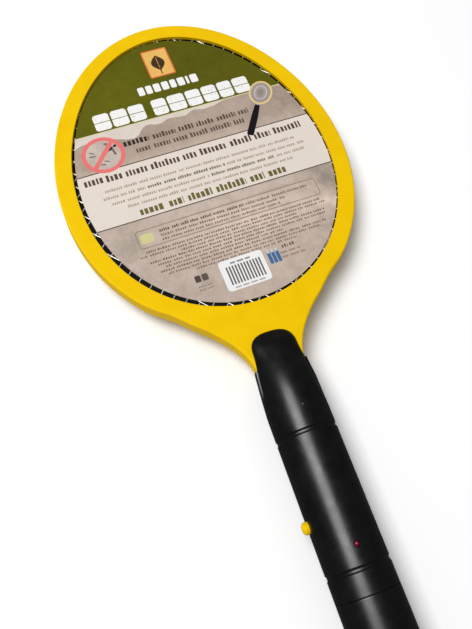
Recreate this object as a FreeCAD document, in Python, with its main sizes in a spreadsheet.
import FreeCAD, Part
import Sketcher
import math
import os

V = FreeCAD.Vector
PL = FreeCAD.Placement
ROT = FreeCAD.Rotation
doc = FreeCAD.newDocument("electric_fly_swatter")

# ------------------------------------------------------------------ driving dimensions (mm)
sheet = doc.addObject("Spreadsheet::Sheet", "D")
DIMS = [
    ("axis_z", 16.9, "height of the handle axis and of the head's middle plane"),
    ("head_y", 116.16, "centre of the oval opening along Y"),
    ("head_thick", 9.6, "overall thickness of the racket head"),
    ("half_thick", 4.8, "thickness of one head frame"),
    ("open_a", 80.0, "half width of the opening"),
    ("open_b", 102.2, "half length of the opening"),
    ("egg_k", 0.07, "egg factor, wider towards the handle"),
    ("rim_w", 10.55, "width of the rim"),
    ("lip_thick", 2.3, "thickness of the lip that holds the grids"),
    ("pocket_w", 4.4, "how far the grid pocket reaches under the lip"),
    ("edge_rad", 1.2, "rounding of the rim's outer edge"),
    ("neck_hw", 13.9, "half width of the neck at the shoulder"),
    ("tab_hw", 10.4, "half width of the tongue inside the handle"),
    ("shoulder_y", -25.8, "where the handle starts at the sides"),
    ("tab_end_y", -49.0, "end of the tongue"),
    ("handle_rad", 16.9, "radius of the grip"),
    ("wall_t", 2.0, "wall thickness of the handle"),
    ("tip_y", -6.6, "tip of the front shell's tongue"),
    ("butt_y", -229.0, "end of the handle"),
    ("butt_rad", 4.0, "rounding of the butt"),
    ("door_y", -148.3, "upper edge of the battery door"),
    ("ring_one_y", -66.0, "upper decorative groove"),
    ("ring_two_y", -136.0, "lower decorative groove"),
    ("ring_w", 2.8, "groove width"),
    ("ring_d", 0.5, "groove depth"),
    ("seam_gap", 0.12, "gap at the battery door"),
    ("button_y", -110.0, "push button along the handle"),
    ("button_rad", 3.5, "radius of the push button"),
    ("button_out", 2.5, "how far the button stands out"),
    ("button_clear", 0.2, "clearance round the button"),
    ("led_y", -125.0, "indicator lamp along the handle"),
    ("led_rad", 1.5, "radius of the lamp"),
    ("board_z", 13.9, "underside of the circuit board"),
    ("board_thick", 1.6, "circuit board thickness"),
    ("board_hw", 12.0, "circuit board half width"),
    ("board_top_y", -67.0, "upper end of the circuit board"),
    ("board_len", 67.0, "circuit board length"),
    ("cell_rad", 7.2, "radius of an AA cell"),
    ("cell_len", 50.5, "length of an AA cell with its nub"),
    ("cell_x", 7.3, "half distance between the cells"),
    ("cell_z", 14.95, "height of the cells' axes"),
    ("grid_thick", 0.5, "thickness of an outer grid"),
    ("mesh_pitch", 7.4, "distance between the mesh wires"),
    ("mesh_wire", 0.8, "width of a mesh wire"),
    ("rod_rad", 0.45, "radius of a middle rod"),
    ("rod_pitch", 5.0, "distance between the middle rods"),
    ("mid_thick", 1.0, "thickness of the middle grid's border"),
    ("card_thick", 0.4, "thickness of the card"),
    ("card_a", 78.3, "half width of the card"),
    ("card_b", 100.4, "half length of the card"),
    ("card_dx", 0.4, "card shifted along X"),
    ("card_dy", 0.7, "card shifted towards the head's tip"),
    ("card_turn", 2.7, "card turned in its recess, degrees"),
    ("screw_rad", 1.3, "screw shank radius"),
    ("screw_head_rad", 2.5, "screw head radius"),
]
for i, (name, val, note) in enumerate(DIMS):
    r = i + 1
    sheet.set("A%d" % r, name)
    sheet.set("B%d" % r, "%g" % val)
    sheet.setAlias("B%d" % r, name)
    sheet.set("C%d" % r, note)
doc.recompute()


def d(name):
    return float(sheet.get(name))


AZ = d("axis_z")
HY = d("head_y")
FACE = AZ + d("half_thick")
BACK = AZ - d("half_thick")
R = d("handle_rad")


# ------------------------------------------------------------------ helpers
def new_body(name):
    b = doc.addObject("PartDesign::Body", name)
    b.Label = name
    return b


def plane(body, role):
    for f in body.Origin.OriginFeatures:
        if f.Role == role:
            return f


def sketch(body, name, role, off=None, expr=None):
    """sketch on one of the body's own origin planes, shifted along its normal or in it"""
    s = body.newObject("Sketcher::SketchObject", name)
    s.AttachmentSupport = [(plane(body, role), "")]
    s.MapMode = "FlatFace"
    if off is not None:
        s.AttachmentOffset = PL(V(*off), ROT())
    for k, e in (expr or {}).items():
        s.setExpression("AttachmentOffset.Base." + k, e)
    return s


def poly(s, pts):
    n = len(pts)
    for i in range(n):
        a, b = pts[i], pts[(i + 1) % n]
        s.addGeometry(Part.LineSegment(V(a[0], a[1], 0), V(b[0], b[1], 0)), False)


def rect(s, x0, y0, x1, y1):
    poly(s, [(x0, y0), (x1, y0), (x1, y1), (x0, y1)])


def circ(s, x, y, r, expr=None):
    i = s.addGeometry(Part.Circle(V(x, y, 0), V(0, 0, 1), r), False)
    if expr:
        c = s.addConstraint(Sketcher.Constraint("Radius", i, r))
        s.setExpression("Constraints[%d]" % c, expr)
    return i


def pad(body, s, length=None, expr=None, reverse=False, mid=False):
    p = body.newObject("PartDesign::Pad", s.Name + "_pad")
    p.Profile = s
    if length is not None:
        p.Length = length
    if expr:
        p.setExpression("Length", expr)
    p.Reversed = reverse
    p.Midplane = mid
    return p


def pocket(body, s, length=None, expr=None, reverse=False, through=False, mid=False):
    p = body.newObject("PartDesign::Pocket", s.Name + "_pocket")
    p.Profile = s
    if through:
        p.Type = 1
        p.Midplane = True
    else:
        if length is not None:
            p.Length = length
        if expr:
            p.setExpression("Length", expr)
        p.Midplane = mid
    p.Reversed = reverse
    return p


def revolve(body, s, angle=360.0, axis="H_Axis", mid=False):
    r = body.newObject("PartDesign::Revolution", s.Name + "_rev")
    r.Profile = s
    r.ReferenceAxis = (s, [axis])
    r.Angle = angle
    r.Midplane = mid
    return r


def cut_something(before, after):
    """true when a pocket took material off: its faces differ, and so does its volume"""
    if after.isNull() or not after.Solids:
        return False
    return len(after.Faces) != len(before.Faces) or abs(after.Volume - before.Volume) > 1e-3


def cut_checked(body, s, name, **kw):
    """a pocket that points away from the solid cuts nothing, so it is turned round and compared again"""
    doc.recompute()
    before = body.Shape.copy()
    p = pocket(body, s, **kw)
    doc.recompute()
    if not cut_something(before, p.Shape):
        p.Reversed = not p.Reversed
        doc.recompute()
        if not cut_something(before, p.Shape):
            raise RuntimeError("%s cuts nothing" % name)
    return p


def feature(name, shape, at=(0, 0, 0)):
    f = doc.addObject("Part::Feature", name)
    f.Label = name
    f.Shape = shape
    f.Placement = PL(V(*at), ROT())
    return f


def box(x0, y0, z0, x1, y1, z1):
    return Part.makeBox(x1 - x0, y1 - y0, z1 - z0, V(x0, y0, z0))


def cyl(r, p0, p1):
    a, b = V(*p0), V(*p1)
    return Part.makeCylinder(r, (b - a).Length, a, b - a)


# ------------------------------------------------------------------ outlines of the head
def oval_point(t, a=None, b=None, off=0.0):
    """point of the egg-shaped oval at angle t, moved outwards by off"""
    a = d("open_a") if a is None else a
    b = d("open_b") if b is None else b
    k = d("egg_k")
    x = a * math.cos(t) * (1 - k * math.sin(t))
    y = b * math.sin(t)
    dx = a * (-math.sin(t) - k * math.cos(2 * t))
    dy = b * math.cos(t)
    n = math.hypot(dx, dy)
    return (x + off * dy / n, HY + y - off * dx / n)


def oval_curve(off=0.0, a=None, b=None, n=48):
    pts = [V(*oval_point(2 * math.pi * i / n, a, b, off), 0) for i in range(n)]
    c = Part.BSplineCurve()
    c.interpolate(Points=pts, PeriodicFlag=True)
    return c


def oval_face(off=0.0, a=None, b=None, z=0.0):
    e = oval_curve(off, a, b).toShape()
    f = Part.Face(Part.Wire([e]))
    f.translate(V(0, 0, z))
    return f


def oval_slab(off, z0, z1, a=None, b=None):
    return oval_face(off, a, b, z0).extrude(V(0, 0, z1 - z0))


def oval_ring(off0, off1, z0, z1, a=None, b=None):
    return oval_slab(off1, z0, z1, a, b).cut(oval_slab(off0, z0 - 1, z1 + 1, a, b))


NECK = [(41.3, 11.3), (39.3, 12.9)]


def outline_points():
    """right half of the head's outer edge, from the tip down to the shoulder"""
    w = d("rim_w")
    pts = []
    t0, t1 = math.pi / 2, -1.075
    n = 17
    for i in range(n + 1):
        t = t0 + (t1 - t0) * i / n
        pts.append(oval_point(t, off=w))
    # flare into the neck
    pts += [(39.6, 10.9), (32.9, 5.0), (26.8, -1.2), (21.9, -7.2), (18.0, -13.4), (15.4, -19.4), (d("neck_hw"), d("shoulder_y"))]
    return pts


def head_outline(s):
    """closed outline of a head frame with the tongue for the handle"""
    half = outline_points()
    right = [V(x, y, 0) for x, y in half]
    left = [V(-x, y, 0) for x, y in half]
    pts = right[::-1] + left[1:]
    c = Part.BSplineCurve()
    c.interpolate(Points=pts)
    s.addGeometry(c, False)
    a, b = pts[0], pts[-1]
    tw, te = d("tab_hw"), d("tab_end_y")
    chain = [(b.x, b.y), (-tw, b.y), (-tw, te), (tw, te), (tw, a.y), (a.x, a.y)]
    for p, q in zip(chain[:-1], chain[1:]):
        s.addGeometry(Part.LineSegment(V(p[0], p[1], 0), V(q[0], q[1], 0)), False)


PEGS = []
for tdeg in (90, 58, 26, -8, -38, 122, 154, 188, 218):
    PEGS.append(oval_point(math.radians(tdeg), off=7.4))
PEGS += [(22.0, 4.0), (-22.0, 4.0)]
NECK_SCREWS = [(6.6, -38.0), (-6.6, -38.0)]


def round_edges(body, base, z, radius_expr, radius, name, minlen):
    """round the outer edge of the frame at height z"""
    doc.recompute()
    names = []
    for i, e in enumerate(base.Shape.Edges):
        bb = e.BoundBox
        if abs(bb.ZMin - z) < 1e-4 and abs(bb.ZMax - z) < 1e-4 and e.Length > minlen:
            names.append("Edge%d" % (i + 1))
    f = body.newObject("PartDesign::Fillet", name)
    f.Base = (base, names)
    f.Radius = radius
    f.setExpression("Radius", radius_expr)
    doc.recompute()
    return f


# ------------------------------------------------------------------ head front frame
def head_frame(name, front):
    b = new_body(name)
    z0 = AZ
    s = sketch(b, name + "_outline", "XY_Plane", (0, 0, z0), {"z": "D.axis_z"})
    head_outline(s)
    p = pad(b, s, expr="D.half_thick", reverse=not front)
    doc.recompute()
    zface = FACE if front else BACK
    round_edges(b, p, zface, "D.edge_rad", d("edge_rad"), name + "_edge", 500.0)
    # opening right through
    s = sketch(b, name + "_opening", "XY_Plane", (0, 0, z0), {"z": "D.axis_z"})
    s.addGeometry(oval_curve(0.0), False)
    cut_checked(b, s, name + " opening", length=60.0, mid=True)
    # pocket for the grids, from the parting plane up to the lip
    s = sketch(b, name + "_pocket", "XY_Plane", (0, 0, z0), {"z": "D.axis_z"})
    s.addGeometry(oval_curve(d("pocket_w")), False)
    cut_checked(b, s, name + " pocket", expr="D.half_thick - D.lip_thick", reverse=front)
    # channel for the grid leads through the neck
    s = sketch(b, name + "_channel", "XY_Plane", (0, 0, z0), {"z": "D.axis_z"})
    rect(s, -3.2, d("tab_end_y") - 1.0, 3.2, HY - d("open_b") - 2.0)
    cut_checked(b, s, name + " channel", length=1.6, reverse=front)
    # screw holes in the tongue
    s = sketch(b, name + "_holes", "XY_Plane", (0, 0, z0), {"z": "D.axis_z"})
    for x, y in NECK_SCREWS:
        circ(s, x, y, 1.9)
    cut_checked(b, s, name + " holes", length=60.0, mid=True)
    # locating pegs on the front frame, sockets in the back frame
    s = sketch(b, name + "_pegs", "XY_Plane", (0, 0, z0), {"z": "D.axis_z"})
    for x, y in PEGS:
        circ(s, x, y, 1.1 if front else 1.25)
    if front:
        pad(b, s, length=2.2, reverse=True)
    else:
        cut_checked(b, s, name + " sockets", length=2.35)
    doc.recompute()
    return b


front_frame = head_frame("head_front_frame", True)
back_frame = head_frame("head_back_frame", False)

# ------------------------------------------------------------------ grids
LIP_F = FACE - d("lip_thick")
LIP_B = BACK + d("lip_thick")
GT = d("grid_thick")
MT = d("mid_thick")


def mesh_grid(z0, z1):
    """flat diamond mesh with a border strip"""
    L = 320.0
    w = d("mesh_wire") / 2
    bars = []
    for ang in (43.0, -43.0):
        a = math.radians(ang)
        ux, uy = math.sin(a), math.cos(a)
        nx, ny = uy, -ux
        n = int(130 / d("mesh_pitch")) + 1
        for i in range(-n, n + 1):
            o = (i + 0.5) * d("mesh_pitch")
            cx, cy = o * nx, HY + o * ny
            pts = [V(cx - L / 2 * ux - w * nx, cy - L / 2 * uy - w * ny, z0),
                   V(cx + L / 2 * ux - w * nx, cy + L / 2 * uy - w * ny, z0),
                   V(cx + L / 2 * ux + w * nx, cy + L / 2 * uy + w * ny, z0),
                   V(cx - L / 2 * ux + w * nx, cy - L / 2 * uy + w * ny, z0)]
            bars.append(Part.Face(Part.makePolygon(pts + [pts[0]])))
    clip = oval_face(2.4, z=z0)
    inside = []
    for f in bars:
        c = f.common(clip)
        if c.Area > 1.0:
            inside += c.Faces
    border = oval_face(3.6, z=z0).cut(oval_face(1.4, z=z0))
    flat = border.fuse(inside).removeSplitter()
    sol = flat.extrude(V(0, 0, z1 - z0))
    return sol


g = mesh_grid(LIP_F - GT, LIP_F)
sols = g.Solids
grid_front = feature("front_grid", sols[0] if len(sols) == 1 else sols[0].multiFuse(sols[1:]).removeSplitter())
grid_back = feature("back_grid", grid_front.Shape.copy(), (0, 0, LIP_B + GT - LIP_F))


def rod_grid():
    z0, z1 = AZ - MT / 2, AZ + MT / 2
    ring = oval_ring(0.9, 3.6, z0, z1)
    rods = []
    rr, p = d("rod_rad"), d("rod_pitch")
    n = int(d("open_a") / p)
    for i in range(-n, n + 1):
        x = i * p
        if abs(x) > d("open_a") - 1:
            continue
        # find where the rod meets the middle of the border strip
        lo, hi = [], []
        N = 720
        for k in range(N):
            t = 2 * math.pi * k / N
            px, py = oval_point(t, off=2.2)
            if abs(px - x) < 0.8:
                (hi if py > HY else lo).append((abs(px - x), py))
        y1 = min(hi)[1]
        y0 = min(lo)[1]
        rods.append(cyl(rr, (x, y0, AZ), (x, y1, AZ)))
    # solder tag for the lead
    tag = box(-2.9, HY - d("open_b") - 4.5, z0, -0.6, HY - d("open_b") - 1.2, z1)
    return ring.multiFuse(rods + [tag])


mid_grid = feature("middle_grid", rod_grid())

# insulating rings between the grids; they show as a black border inside the yellow rim
ins_f = new_body("front_insulator")
s = sketch(ins_f, "front_insulator_ring", "XY_Plane", (0, 0, AZ + MT / 2), {"z": "D.axis_z + D.mid_thick / 2"})
s.addGeometry(oval_curve(4.2), False)
s.addGeometry(oval_curve(-5.0), False)
pad(ins_f, s, expr="D.half_thick - D.lip_thick - D.grid_thick - D.mid_thick / 2")
ins_b = new_body("back_insulator")
s = sketch(ins_b, "back_insulator_ring", "XY_Plane", (0, 0, AZ - MT / 2), {"z": "D.axis_z - D.mid_thick / 2"})
s.addGeometry(oval_curve(4.2), False)
s.addGeometry(oval_curve(-5.0), False)
pad(ins_b, s, expr="D.half_thick - D.lip_thick - D.grid_thick - D.mid_thick / 2", reverse=True)

# oval spacers in the middle of the head keep the grids apart
for nm, up in (("front_center_spacer", True), ("back_center_spacer", False)):
    b = new_body(nm)
    zz = AZ + (0.47 if up else -0.47)
    s = sketch(b, nm + "_ring", "XY_Plane", (0, 0, zz))
    s.addGeometry(oval_curve(0.0, 37.5, 47.5), False)
    s.addGeometry(oval_curve(0.0, 33.5, 43.5), False)
    pad(b, s, length=d("half_thick") - d("lip_thick") - d("grid_thick") - 0.47, reverse=not up)

# ------------------------------------------------------------------ printed card in the front recess
card = new_body("label_card")
s = sketch(card, "label_card_outline", "XY_Plane", (0, 0, LIP_F + 0.02))
pts = []
ct = math.radians(d("card_turn"))
for i in range(48):
    x, y = oval_point(2 * math.pi * i / 48, d("card_a"), d("card_b"))
    y -= HY
    pts.append(V(x * math.cos(ct) - y * math.sin(ct) + d("card_dx"), HY + x * math.sin(ct) + y * math.cos(ct) + d("card_dy"), 0))
c = Part.BSplineCurve()
c.interpolate(Points=pts, PeriodicFlag=True)
s.addGeometry(c, False)
pad(card, s, expr="D.card_thick")


# ------------------------------------------------------------------ handle profile
def spline_edge(pts):
    c = Part.BSplineCurve()
    c.interpolate(Points=[V(p[0], p[1], 0) for p in pts])
    return c


FRONT_TAPER = [(-56.0, 16.9), (-50.0, 16.45), (-44.0, 15.9), (-34.0, 14.85), (-27.0, 14.1), (-19.0, 13.5), (-12.0, 13.0), (-4.0, 12.5)]
BACK_TAPER = [(-54.0, 16.9), (-49.0, 16.75), (-44.0, 16.45), (-34.0, 15.7), (d("shoulder_y"), 14.95)]


def handle_outer(sgn, taper, y_low, butt):
    """outer line of the handle in (Y, Z above the axis), from the head end down to y_low"""
    geo = []
    t = [(y, sgn * r) for y, r in taper][::-1]
    geo.append(spline_edge(t))
    rw, rd = d("ring_w") / 2, d("ring_d")
    pts = [t[-1]]
    for yc in (d("ring_one_y"), d("ring_two_y")):
        if yc - rw < y_low:
            continue
        pts += [(yc + rw, sgn * R), (yc + rw - 0.45, sgn * (R - rd)), (yc - rw + 0.45, sgn * (R - rd)), (yc - rw, sgn * R)]
    if butt:
        br = d("butt_rad")
        pts += [(d("butt_y") + br, sgn * R)]
        for k in range(1, 7):
            a = math.radians(15 * k)
            pts.append((d("butt_y") + br - br * math.sin(a), sgn * (R - br + br * math.cos(a))))
    else:
        pts += [(y_low, sgn * R)]
    return geo, pts


def lines(s, pts):
    for p, q in zip(pts[:-1], pts[1:]):
        s.addGeometry(Part.LineSegment(V(p[0], p[1], 0), V(q[0], q[1], 0)), False)


W = d("wall_t")
CELL_TOP_WALL = -150.4   # wall at the head end of the battery tray
CELL_END_WALL = -213.6   # wall at the butt end of the battery tray

# --- back shell: the whole length, with the lower half of the butt
back_shell = new_body("handle_back_shell")
s = sketch(back_shell, "back_shell_profile", "YZ_Plane", (0, AZ, 0), {"y": "D.axis_z"})
geo, pts = handle_outer(-1, BACK_TAPER, d("butt_y"), True)
s.addGeometry(geo[0], False)
inner = [(y, -(r - W)) for y, r in BACK_TAPER]
inner[-1] = (d("shoulder_y"), -(BACK_TAPER[-1][1] - W))
pts += [(d("butt_y"), 0.0), (d("butt_y") + 3.0, 0.0), (d("butt_y") + 3.0, -(R - W)), (inner[0][0], inner[0][1])]
lines(s, pts)
s.addGeometry(spline_edge(inner), False)
lines(s, [(d("shoulder_y"), inner[-1][1]), (d("shoulder_y"), -BACK_TAPER[-1][1])])
revolve(back_shell, s, 180.0, "H_Axis", mid=True)
doc.recompute()

# --- front shell down to the battery door, with the tongue over the neck
front_shell = new_body("handle_front_shell")
s = sketch(front_shell, "front_shell_profile", "YZ_Plane", (0, AZ, 0), {"y": "D.axis_z"})
y_low = d("door_y") + d("seam_gap") / 2
geo, pts = handle_outer(1, FRONT_TAPER, y_low, False)
s.addGeometry(geo[0], False)
inner = [(y, r - W) for y, r in FRONT_TAPER]
pts += [(y_low, R - W), (inner[0][0], inner[0][1])]
lines(s, pts)
s.addGeometry(spline_edge(inner), False)
lines(s, [(inner[-1][0], inner[-1][1]), (FRONT_TAPER[-1][0], FRONT_TAPER[-1][1])])
revolve(front_shell, s, 180.0, "H_Axis", mid=True)
doc.recompute()
# solid nose of the tongue above the yellow neck
s = sketch(front_shell, "front_shell_nose", "YZ_Plane", (0, AZ, 0), {"y": "D.axis_z"})
hz = d("half_thick") + 0.05
lines(s, [(-4.0, hz), (-36.0, hz), (-36.0, 13.2), (-22.0, 12.4), (-4.0, 11.0), (-4.0, hz)])
pad(front_shell, s, length=12.0, mid=True)
doc.recompute()
s = sketch(front_shell, "front_shell_nose_wide", "YZ_Plane", (0, AZ, 0), {"y": "D.axis_z"})
lines(s, [(-4.0, hz), (-20.0, hz), (-20.0, 10.9), (-4.0, 9.6), (-4.0, hz)])
pad(front_shell, s, length=16.0, mid=True)
doc.recompute()
# nothing below the neck's front face ahead of the shoulder
s = sketch(front_shell, "front_shell_under", "YZ_Plane", (0, AZ, 0), {"y": "D.axis_z"})
rect(s, d("shoulder_y") + 0.0, -3.0, 5.0, hz)
cut_checked(front_shell, s, "front shell under", length=60.0, mid=True)
# plan shape of the tip: everything outside the rounded outline goes
tip = d("tip_y")
s = sketch(front_shell, "front_shell_tip", "XY_Plane", (0, 0, AZ))
N = 24
arc = []
hw = 12.9
for i in range(N + 1):
    a = math.pi * i / N
    ca, sa = math.cos(a), math.sin(a)
    x = hw * math.copysign(abs(ca) ** (2 / 2.7), ca)
    y = (tip - 11.4) + 11.4 * abs(sa) ** (2 / 2.7)
    arc.append((x, y))
outer = [(30.0, tip - 11.4), (30.0, 10.0), (-30.0, 10.0), (-30.0, tip - 11.4)]
s.addGeometry(spline_edge(arc), False)
lines(s, [(arc[-1][0], arc[-1][1]), (-30.0, tip - 11.4), (-30.0, 10.0), (30.0, 10.0), (30.0, tip - 11.4), (arc[0][0], arc[0][1])])
cut_checked(front_shell, s, "front shell tip", length=80.0, mid=True)
# side shape of the nose: it slopes down to the tip
s = sketch(front_shell, "front_shell_slope", "YZ_Plane", (0, AZ, 0), {"y": "D.axis_z"})
top = [(-40.0, 15.45), (-34.0, 14.2), (-28.0, 12.7), (-22.0, 11.2), (-16.0, 9.9), (-11.0, 8.9), (tip - 0.4, 7.6), (5.0, 4.0)]
s.addGeometry(spline_edge(top), False)
lines(s, [(5.0, 4.0), (5.0, 30.0), (-40.0, 30.0), (-40.0, 15.45)])
cut_checked(front_shell, s, "front shell slope", length=80.0, mid=True)

# --- battery door: upper half of the tube below the front shell, with the upper half of the butt
door = new_body("battery_door")
s = sketch(door, "battery_door_profile", "YZ_Plane", (0, AZ, 0), {"y": "D.axis_z"})
br = d("butt_rad")
y0 = d("door_y") - d("seam_gap") / 2
pts = [(y0, R - W), (y0, R), (d("butt_y") + br, R)]
for k in range(1, 7):
    a = math.radians(15 * k)
    pts.append((d("butt_y") + br - br * math.sin(a), R - br + br * math.cos(a)))
pts += [(d("butt_y"), 0.0), (d("butt_y") + 2.0, 0.0), (d("butt_y") + 2.0, R - W), (y0, R - W)]
lines(s, pts)
revolve(door, s, 180.0, "H_Axis", mid=True)
doc.recompute()
s = sketch(door, "battery_door_seam", "XY_Plane", (0, 0, AZ), {"z": "D.axis_z"})
rect(s, -20.0, d("butt_y") - 1.0, 20.0, d("door_y") + 5.0)
cut_checked(door, s, "battery door seam", expr="D.seam_gap", reverse=True)
# finger grip ribs on the door
s = sketch(door, "battery_door_ribs", "YZ_Plane", (0, AZ, 0), {"y": "D.axis_z"})
for k in range(5):
    yc = -208.0 - 2.6 * k
    poly(s, [(yc - 0.55, R + 1.0), (yc + 0.55, R + 1.0), (yc + 0.4, R - 0.5), (yc - 0.4, R - 0.5)])
cut_checked(door, s, "battery door ribs", length=13.0, mid=True)


# ------------------------------------------------------------------ bosses, holes and walls of the shells
def boss(body, name, pts, r, z0, z1):
    s = sketch(body, name, "XY_Plane", (0, 0, z0))
    for x, y in pts:
        circ(s, x, y, r)
    return pad(body, s, length=z1 - z0)


LOW_SCREW = [(0.0, -142.5)]
BOARD_SCREWS = [(-8.6, -70.5), (8.6, -130.6)]
ALL_SCREWS = NECK_SCREWS + LOW_SCREW

# back shell: bosses stand up from its inner wall
boss(back_shell, "back_neck_bosses", NECK_SCREWS, 3.6, AZ - 12.9, BACK - 0.05)
doc.recompute()
boss(back_shell, "back_low_boss", LOW_SCREW, 3.9, AZ - 16.0, AZ - 0.0)
doc.recompute()
boss(back_shell, "back_board_bosses", BOARD_SCREWS, 2.4, AZ - 13.2, d("board_z"))
doc.recompute()
# cross walls of the battery tray
s = sketch(back_shell, "back_tray_walls", "YZ_Plane", (0, AZ, 0), {"y": "D.axis_z"})
rect(s, CELL_TOP_WALL - 1.0, -(R - 1.0), CELL_TOP_WALL + 0.6, -0.3)
rect(s, CELL_END_WALL - 1.2, -(R - 1.0), CELL_END_WALL + 0.4, -0.3)
pad(back_shell, s, length=10.0, mid=True)
doc.recompute()
s = sketch(back_shell, "back_tray_walls_wide", "YZ_Plane", (0, AZ, 0), {"y": "D.axis_z"})
rect(s, CELL_TOP_WALL - 1.0, -9.8, CELL_TOP_WALL + 0.6, -0.3)
rect(s, CELL_END_WALL - 1.2, -9.8, CELL_END_WALL + 0.4, -0.3)
pad(back_shell, s, length=27.0, mid=True)
doc.recompute()
# countersunk wells for the screw heads, from outside
s = sketch(back_shell, "back_wells", "XY_Plane", (0, 0, 0))
for x, y in ALL_SCREWS:
    circ(s, x, y, 2.9)
cut_checked(back_shell, s, "screw wells", length=7.0, reverse=True)
s = sketch(back_shell, "back_screw_holes", "XY_Plane", (0, 0, 0))
for x, y in ALL_SCREWS:
    circ(s, x, y, 1.5)
cut_checked(back_shell, s, "screw holes", length=20.0, reverse=True)
s = sketch(back_shell, "back_board_holes", "XY_Plane", (0, 0, d("board_z")), {"z": "D.board_z"})
for x, y in BOARD_SCREWS:
    circ(s, x, y, 0.95)
cut_checked(back_shell, s, "board holes", length=6.5)

# front shell: bosses hang from its inner wall
boss(front_shell, "front_neck_bosses", NECK_SCREWS, 3.2, FACE + 0.05, AZ + 11.2)
doc.recompute()
boss(front_shell, "front_low_boss", LOW_SCREW, 3.2, AZ + 0.05, AZ + 16.0)
doc.recompute()
s = sketch(front_shell, "front_screw_holes", "XY_Plane", (0, 0, AZ - 1))
for x, y in NECK_SCREWS:
    circ(s, x, y, 1.35)
cut_checked(front_shell, s, "front neck screw holes", length=11.0, reverse=True)
s = sketch(front_shell, "front_low_hole", "XY_Plane", (0, 0, AZ - 1))
for x, y in LOW_SCREW:
    circ(s, x, y, 1.35)
cut_checked(front_shell, s, "front low screw hole", length=11.5, reverse=True)
# lamp hole
s = sketch(front_shell, "front_lamp_hole", "XY_Plane", (0, 0, AZ + 8.0))
circ(s, 0.0, d("led_y"), d("led_rad") + 0.15, "D.led_rad + 0.15")
cut_checked(front_shell, s, "lamp hole", length=12.0, reverse=True)
# button hole, half in each shell
for b, nm in ((front_shell, "front"), (back_shell, "back")):
    s = sketch(b, nm + "_button_hole", "YZ_Plane", (0, AZ, -24.0), {"y": "D.axis_z"})
    circ(s, d("button_y"), 0.0, d("button_rad") + d("button_clear"), "D.button_rad + D.button_clear")
    cut_checked(b, s, nm + " button hole", length=16.0, reverse=True)
# the front shell stands a hair above the seam
s = sketch(front_shell, "front_seam", "XY_Plane", (0, 0, AZ), {"z": "D.axis_z"})
rect(s, -20.0, d("door_y") - 5.0, 20.0, 5.0)
cut_checked(front_shell, s, "front seam", length=0.04, reverse=True)

# ------------------------------------------------------------------ screws
def screw(x, y, z_head, z_tip, r, rh, hh):
    """pan head screw pointing up, with a cross recess"""
    sh = cyl(r, (x, y, z_head), (x, y, z_tip - 1.0))
    sh = sh.fuse(Part.makeCone(r, 0.25, 1.0, V(x, y, z_tip - 1.0), V(0, 0, 1)))
    hd = cyl(rh, (x, y, z_head - hh), (x, y, z_head))
    hd = hd.makeFillet(0.5, [e for e in hd.Edges if abs(e.BoundBox.ZMax - (z_head - hh)) < 1e-6 and abs(e.BoundBox.ZMin - (z_head - hh)) < 1e-6])
    o = sh.fuse(hd)
    o = o.cut(box(x - rh * 0.55, y - 0.3, z_head - hh - 0.1, x + rh * 0.55, y + 0.3, z_head - hh + 0.9))
    o = o.cut(box(x - 0.3, y - rh * 0.55, z_head - hh - 0.1, x + 0.3, y + rh * 0.55, z_head - hh + 0.9))
    return o.removeSplitter()


SR, SH = d("screw_rad"), d("screw_head_rad")
scr = [screw(x, y, 7.0, 26.2 if (x, y) in NECK_SCREWS else 26.8, SR, SH, 1.7) for x, y in ALL_SCREWS]
feature("handle_screws", Part.makeCompound(scr))

# ------------------------------------------------------------------ push button
button = new_body("push_button")
s = sketch(button, "push_button_profile", "XY_Plane", (0, d("button_y"), AZ), {"y": "D.button_y", "z": "D.axis_z"})
rb = d("button_rad")
xo = -(R + d("button_out"))
prof = [(xo, 0.0), (xo + 0.05, 1.2), (xo + 0.3, 2.3), (xo + 0.8, 3.1), (xo + 1.4, 3.42), (xo + 2.0, rb)]
s.addGeometry(spline_edge(prof), False)
lines(s, [(xo + 2.0, rb), (-13.8, rb), (-13.8, 4.75), (-12.6, 4.75), (-12.6, 0.0), (xo, 0.0)])
revolve(button, s, 360.0, "H_Axis")

plunger = doc.addObject("Part::Cylinder", "switch_plunger")
plunger.Label = "switch_plunger"
plunger.Radius = 1.3
plunger.Height = 5.2
plunger.Placement = PL(V(-12.55, d("button_y"), AZ), ROT(V(0, 1, 0), 90))
plunger.setExpression("Placement.Base.y", "D.button_y")
plunger.setExpression("Placement.Base.z", "D.axis_z")

# switch housing on the board, with the plunger's hole in its side
BT = d("board_z") + d("board_thick")
by = d("button_y")
tact = new_body("tact_switch")
s = sketch(tact, "tact_switch_base", "XY_Plane", (0, 0, BT), {"z": "D.board_z + D.board_thick"})
rect(s, -8.9, by - 3.1, -2.9, by + 3.1)
pad(tact, s, length=5.2)
doc.recompute()
s = sketch(tact, "tact_switch_hole", "YZ_Plane", (0, AZ, -8.9), {"y": "D.axis_z"})
circ(s, by, 0.0, 1.35)
cut_checked(tact, s, "plunger hole", length=3.0, reverse=True)

# ------------------------------------------------------------------ indicator lamp
lr = d("led_rad")
ly = d("led_y")
led_top = AZ + R + 0.7
led = cyl(lr, (0, ly, led_top - 6.0), (0, ly, led_top - lr))
led = led.fuse(Part.makeSphere(lr, V(0, ly, led_top - lr)))
led = led.fuse(cyl(1.9, (0, ly, led_top - 6.6), (0, ly, led_top - 5.6)))
led = led.fuse(cyl(0.25, (-0.9, ly, BT), (-0.9, ly, led_top - 6.2)))
led = led.fuse(cyl(0.25, (0.9, ly, BT), (0.9, ly, led_top - 6.2)))
feature("led", led.removeSplitter())

# ------------------------------------------------------------------ circuit board
board = new_body("circuit_board")
s = sketch(board, "circuit_board_outline", "XY_Plane", (0, 0, d("board_z")), {"z": "D.board_z"})
yt, yb, bw = d("board_top_y"), d("board_top_y") - d("board_len"), d("board_hw")
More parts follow.
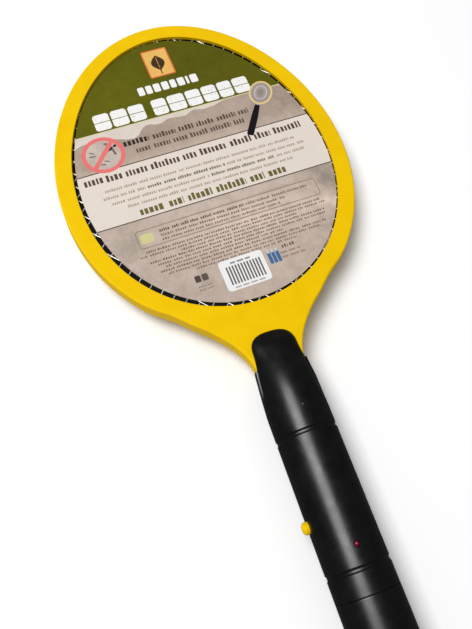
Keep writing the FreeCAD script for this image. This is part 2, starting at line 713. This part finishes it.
# a notch in the left edge leaves room for the button's flange
poly(s, [(-bw, yb), (bw, yb), (bw, yt), (-bw, yt), (-bw, d("button_y") + 5.8), (-10.4, d("button_y") + 5.8), (-10.4, d("button_y") - 5.8), (-bw, d("button_y") - 5.8)])
pad(board, s, expr="D.board_thick")
doc.recompute()
s = sketch(board, "circuit_board_holes", "XY_Plane", (0, 0, d("board_z")), {"z": "D.board_z"})
for x, y in BOARD_SCREWS:
    circ(s, x, y, 1.3)
cut_checked(board, s, "board holes", length=20.0, mid=True)

bs = []
for x, y in BOARD_SCREWS:
    o = cyl(0.9, (x, y, BT - 6.5), (x, y, BT))
    o = o.fuse(cyl(2.1, (x, y, BT), (x, y, BT + 1.3)))
    o = o.cut(box(x - 1.3, y - 0.25, BT + 0.7, x + 1.3, y + 0.25, BT + 2))
    bs.append(o.removeSplitter())
feature("board_screws", Part.makeCompound(bs))

# transformer: bobbin, winding and core
ty = -80.0
bob = doc.addObject("Part::Box", "transformer_bobbin")
bob.Label = "transformer_bobbin"
bob.Length, bob.Width, bob.Height = 13.0, 12.4, 0.8
bob.Placement = PL(V(-6.5, ty - 6.2, BT), ROT())
bob.setExpression("Placement.Base.z", "D.board_z + D.board_thick")
win = doc.addObject("Part::Box", "winding_block")
win.Length, win.Width, win.Height = 10.0, 8.4, 9.4
win.Placement = PL(V(-5.0, ty - 4.2, BT + 0.8), ROT())
leg = doc.addObject("Part::Box", "winding_window")
leg.Length, leg.Width, leg.Height = 4.6, 12.0, 5.4
leg.Placement = PL(V(-2.3, ty - 6.0, BT + 2.8), ROT())
doc.recompute()
wb = win.Shape.makeFillet(1.2, [e for e in win.Shape.Edges if abs(e.BoundBox.YLength - 8.4) < 1e-6])
feature("transformer_winding", wb.cut(leg.Shape))
doc.removeObject("winding_block")
doc.removeObject("winding_window")
core = box(-7.2, ty - 6.4, BT + 2.9, 7.2, ty + 6.4, BT + 8.1)
for sx in (-1, 1):
    core = core.cut(box(min(sx * 2.2, sx * 5.2), ty - 4.4, BT, max(sx * 2.2, sx * 5.2), ty + 4.4, BT + 14))
feature("transformer_core", core)

# high-voltage film capacitor that the grids discharge
cap = box(-3.4, -103.0, BT + 0.6, 3.4, -89.5, BT + 11.6)
cap = cap.makeFillet(1.3, cap.Edges)
cap = cap.fuse(cyl(0.3, (0, -101.0, BT), (0, -101.0, BT + 1.4))).fuse(cyl(0.3, (0, -91.5, BT), (0, -91.5, BT + 1.4)))
feature("storage_capacitor", cap)

# voltage multiplier
mc = []
for x in (-7.6, 7.6):
    o = cyl(3.3, (x - 1.2, -94.0, BT + 4.2), (x + 1.2, -94.0, BT + 4.2))
    o = o.makeFillet(0.7, [e for e in o.Edges if e.Length > 15])
    o = o.fuse(cyl(0.25, (x, -95.8, BT), (x, -95.8, BT + 2.4))).fuse(cyl(0.25, (x, -92.2, BT), (x, -92.2, BT + 2.4)))
    mc.append(o)
feature("multiplier_capacitors", Part.makeCompound(mc))


def tube(pts, r):
    """round wire along straight runs joined by tangent arcs"""
    P = [V(*p) for p in pts]
    edges = []
    start = P[0]
    for i in range(1, len(P) - 1):
        a, b, c = P[i - 1], P[i], P[i + 1]
        u = (b - a).normalize()
        w = (c - b).normalize()
        turn = u.getAngle(w)
        run = min((P[i] - P[i - 1]).Length, (P[i + 1] - P[i]).Length)
        t = 0.45 * run
        p1 = b - u * t
        p2 = b + w * t
        mid_dir = ((p1 + p2) * 0.5 - b)
        rad = t / math.tan(turn / 2)
        cen = b + mid_dir.normalize() * (rad / math.cos(turn / 2))
        pm = cen + (b - cen).normalize() * rad
        edges.append(Part.LineSegment(start, p1).toShape())
        edges.append(Part.Arc(p1, pm, p2).toShape())
        start = p2
    edges.append(Part.LineSegment(start, P[-1]).toShape())
    w = Part.Wire(edges)
    u = (P[1] - P[0]).normalize()
    prof = Part.Wire([Part.Circle(P[0], u, r).toShape()])
    s = w.makePipeShell([prof], True, False)
    return s


def axial(x, y0, y1, r, rl):
    """axial part lying along Y on bent leads"""
    ym = (y0 + y1) / 2
    L = (y1 - y0)
    z = BT + r + 0.25
    o = cyl(r, (x, ym - L * 0.26, z), (x, ym + L * 0.26, z))
    o = o.fuse(tube([(x, ym + L * 0.2, z), (x, y1, z), (x, y1, BT)], rl))
    o = o.fuse(tube([(x, ym - L * 0.2, z), (x, y0, z), (x, y0, BT)], rl))
    return o


feature("multiplier_diodes", Part.makeCompound([axial(x, y - 4.6, y + 4.6, 1.15, 0.3) for x, y in ((-10.0, -79.5), (10.0, -76.0), (-10.4, -89.6 - 2.0), (10.4, -86.4 - 0.4))]))
feature("resistors", Part.makeCompound([axial(x, y - 4.4, y + 4.4, 1.0, 0.25) for x, y in ((6.6, -120.5), (9.2, -120.5), (-6.8, -122.5))]))
# TO-92 transistor on three legs
tr = cyl(2.4, (6.2, -108.0, BT + 3.0), (6.2, -108.0, BT + 7.8)).cut(box(3.0, -106.7, BT, 9.4, -104.0, BT + 10))
for dx in (-1.27, 0.0, 1.27):
    tr = tr.fuse(cyl(0.25, (6.2 + dx, -108.2, BT), (6.2 + dx, -108.2, BT + 3.4)))
feature("transistor", tr.removeSplitter())

# ------------------------------------------------------------------ cells and contacts
CR, CL, CX, CZ = d("cell_rad"), d("cell_len"), d("cell_x"), d("cell_z")
Y_TOP = -152.0      # face of the contact plates at the head end
Y_END = -212.4      # face of the bridge at the butt end


def cell(x, y_plus, sgn):
    """AA cell, positive nub at y_plus, body running in direction -sgn"""
    y1 = y_plus - sgn * 1.1
    y2 = y_plus - sgn * CL
    b = cyl(CR, (x, min(y1, y2), CZ), (x, max(y1, y2), CZ))
    b = b.makeFillet(0.6, [e for e in b.Edges if e.Length > 30 and abs(e.BoundBox.YLength) < 1e-6])
    return b.fuse(cyl(2.7, (x, min(y_plus, y1), CZ), (x, max(y_plus, y1), CZ)))


feature("battery_cell_a", cell(CX, Y_TOP - 0.05, 1))
feature("battery_cell_b", cell(-CX, Y_END + 0.05, -1))


def coil(x, y0, y1, r0, r1):
    """conical contact spring along Y, four turns"""
    h = abs(y1 - y0) - 0.8
    sgn = 1 if y1 > y0 else -1
    n = 40
    pts = []
    for i in range(n + 1):
        a = math.radians(36.0 * i)
        rr = r0 + (r1 - r0) * i / n
        pts.append((x + rr * math.cos(a), y0 + sgn * (0.4 + h * i / n), CZ + rr * math.sin(a)))
    return tube(pts, 0.4)


cellb_flat = (Y_END + 0.05) + CL
cella_flat = (Y_TOP - 0.05) - CL
springs = [coil(-CX, Y_TOP - 0.02, cellb_flat + 0.05, 4.6, 2.6), coil(CX, Y_END + 0.02, cella_flat - 0.05, 4.6, 2.6)]
feature("battery_springs", Part.makeCompound(springs))
plates = [box(-12.6, Y_TOP, 10.0, -1.2, Y_TOP + 0.35, 21.0), box(1.2, Y_TOP, 10.0, 12.6, Y_TOP + 0.35, 21.0),
          box(-12.6, Y_END - 0.35, 10.0, 12.6, Y_END, 21.0)]
feature("battery_contacts", Part.makeCompound(plates))

# ------------------------------------------------------------------ leads
zl = BT + 0.65
ye = HY - d("open_b") - 4.5
leads = [tube([(-1.7, -70.0, zl), (-1.7, -40.0, AZ), (-1.7, ye, AZ)], 0.6),
         tube([(1.7, -70.0, zl), (1.7, -40.0, AZ), (1.7, ye, AZ)], 0.6)]
feature("grid_leads", Part.makeCompound(leads))
bl = []
for x in (-9.0, 9.0):
    bl.append(tube([(x * 0.9 if x < 0 else 4.8, -130.6, zl), (x * 0.75, -139.0, zl + 1.0), (x, -145.0, AZ + 4.5), (x, Y_TOP + 0.5, AZ + 3.2)], 0.6))
feature("battery_leads", Part.makeCompound(bl))

# ------------------------------------------------------------------ check and write
doc.recompute()
NODES = ["head_front_frame", "head_back_frame", "front_grid", "middle_grid", "back_grid", "front_insulator",
         "back_insulator", "front_center_spacer", "back_center_spacer", "label_card", "handle_front_shell",
         "handle_back_shell", "battery_door", "handle_screws", "push_button", "switch_plunger", "tact_switch",
         "led", "circuit_board", "board_screws", "transformer_bobbin", "transformer_winding", "transformer_core",
         "storage_capacitor", "multiplier_capacitors", "multiplier_diodes", "resistors", "transistor",
         "battery_cell_a", "battery_cell_b", "battery_springs", "battery_contacts", "grid_leads", "battery_leads"]
bad = []
for o in doc.Objects:
    if any(k in ("Invalid", "Error") for k in o.State):
        bad.append("%s state %s" % (o.Name, o.State))
by_label = {o.Label: o for o in doc.Objects}
for n in NODES:
    sh = by_label[n].Shape
    if sh.isNull() or not sh.isValid() or not sh.Solids:
        bad.append("%s shape is null, invalid or has no solid" % n)
if bad:
    raise RuntimeError("; ".join(bad))
os.makedirs("parts", exist_ok=True)
for n in NODES:
    sh = by_label[n].Shape
    sh.exportStep(os.path.join("parts", n + ".step"))
    bb = sh.BoundBox
    print("%-24s solids %2d vol %9.1f  x %.2f..%.2f y %.2f..%.2f z %.2f..%.2f" % (n, len(sh.Solids), sh.Volume, bb.XMin, bb.XMax, bb.YMin, bb.YMax, bb.ZMin, bb.ZMax))
